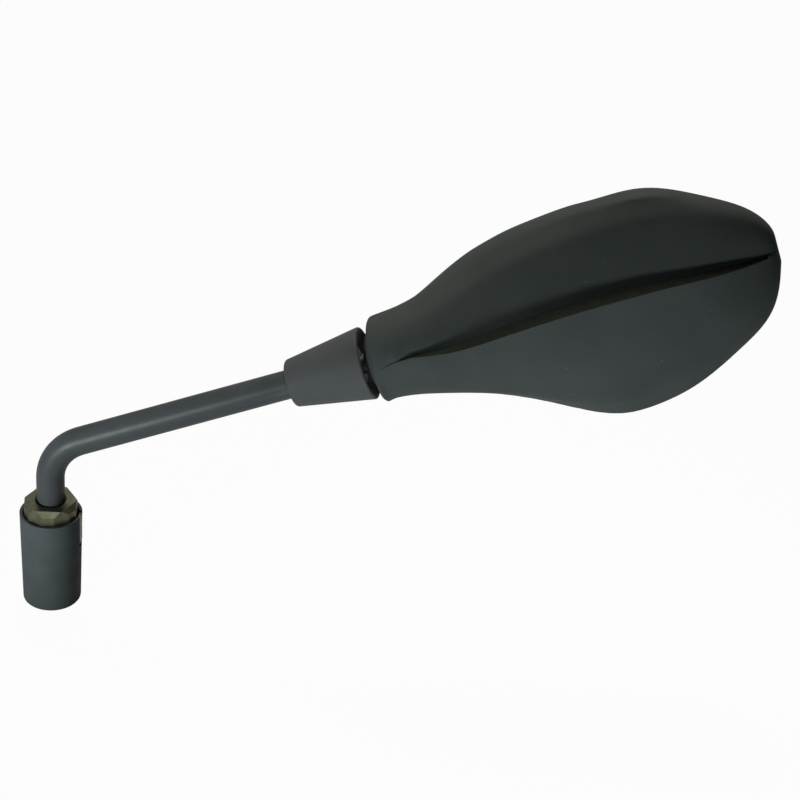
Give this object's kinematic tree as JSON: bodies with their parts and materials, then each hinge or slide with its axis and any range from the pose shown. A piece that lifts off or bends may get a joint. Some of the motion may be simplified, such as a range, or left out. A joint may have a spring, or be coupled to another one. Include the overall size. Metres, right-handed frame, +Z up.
{
  "type": "motorcycle mirror",
  "caption": "Handlebar mirror: threaded base with lock nut and cover sleeve, bent stem rod, cone collar, ball joint and a leaf-shaped moulded head with a convex glass.",
  "frame": {"origin": "centre of the mounting thread's mouth, on the underside of the base", "axes": "+Z up along the mounting thread, +X outboard along the arm, +Y to the rear, where the glass looks"},
  "size_m": [0.2538, 0.0297, 0.1775],
  "materials": {
    "sleeve_rubber": "moulded matte black",
    "zinc_plate": "olive zinc plating",
    "rod_paint": "satin black powder coat",
    "collar_plastic": "moulded matte black",
    "bright_steel": "bright zinc plating",
    "seat_nylon": "natural nylon",
    "clamp_plastic": "glass-filled nylon",
    "shell_plastic": "fine-grained matte black",
    "plate_plastic": "plain black",
    "foam": "grey adhesive foam",
    "silvered_glass": "silvered convex glass",
    "gasket_rubber": "black edge strip"
  },
  "bodies": {
    "base": {"threaded_adapter": "zinc_plate", "lock_washer": "zinc_plate", "lock_nut": "zinc_plate", "base_sleeve": "sleeve_rubber"},
    "stem": {"stem_rod": "rod_paint", "stem_collar": "collar_plastic", "ball_stud": "bright_steel"},
    "seat_ring": {"ball_seat_ring": "seat_nylon"},
    "seat_cup": {"ball_seat_cup": "seat_nylon"},
    "head": {"housing_shell": "shell_plastic", "clamp_cap": "clamp_plastic", "clamp_screws": "bright_steel", "backing_plate": "plate_plastic", "plate_screws": "bright_steel", "foam_pad": "foam", "mirror_glass": "silvered_glass", "rim_gasket": "gasket_rubber"}
  },
  "joints": [
    {"name": "stem_swivel", "type": "hinge", "parent": "base", "child": "stem", "pos_m": [0, 0, 0.04], "axis": [0, 0, 1], "continuous": true},
    {"name": "head_turn", "type": "hinge", "parent": "stem", "child": "seat_ring", "pos_m": [0.12303, 0, 0.11654], "axis": [0.9178, 0, 0.3971], "continuous": true},
    {"name": "head_swing", "type": "hinge", "parent": "seat_ring", "child": "seat_cup", "pos_m": [0.12303, 0, 0.11654], "axis": [-0.3971, 0, 0.9178], "range_deg": [-8, 8]},
    {"name": "head_tilt", "type": "hinge", "parent": "seat_cup", "child": "head", "pos_m": [0.12303, 0, 0.11654], "axis": [0, -1, 0], "range_deg": [-8, 8]}
  ]
}
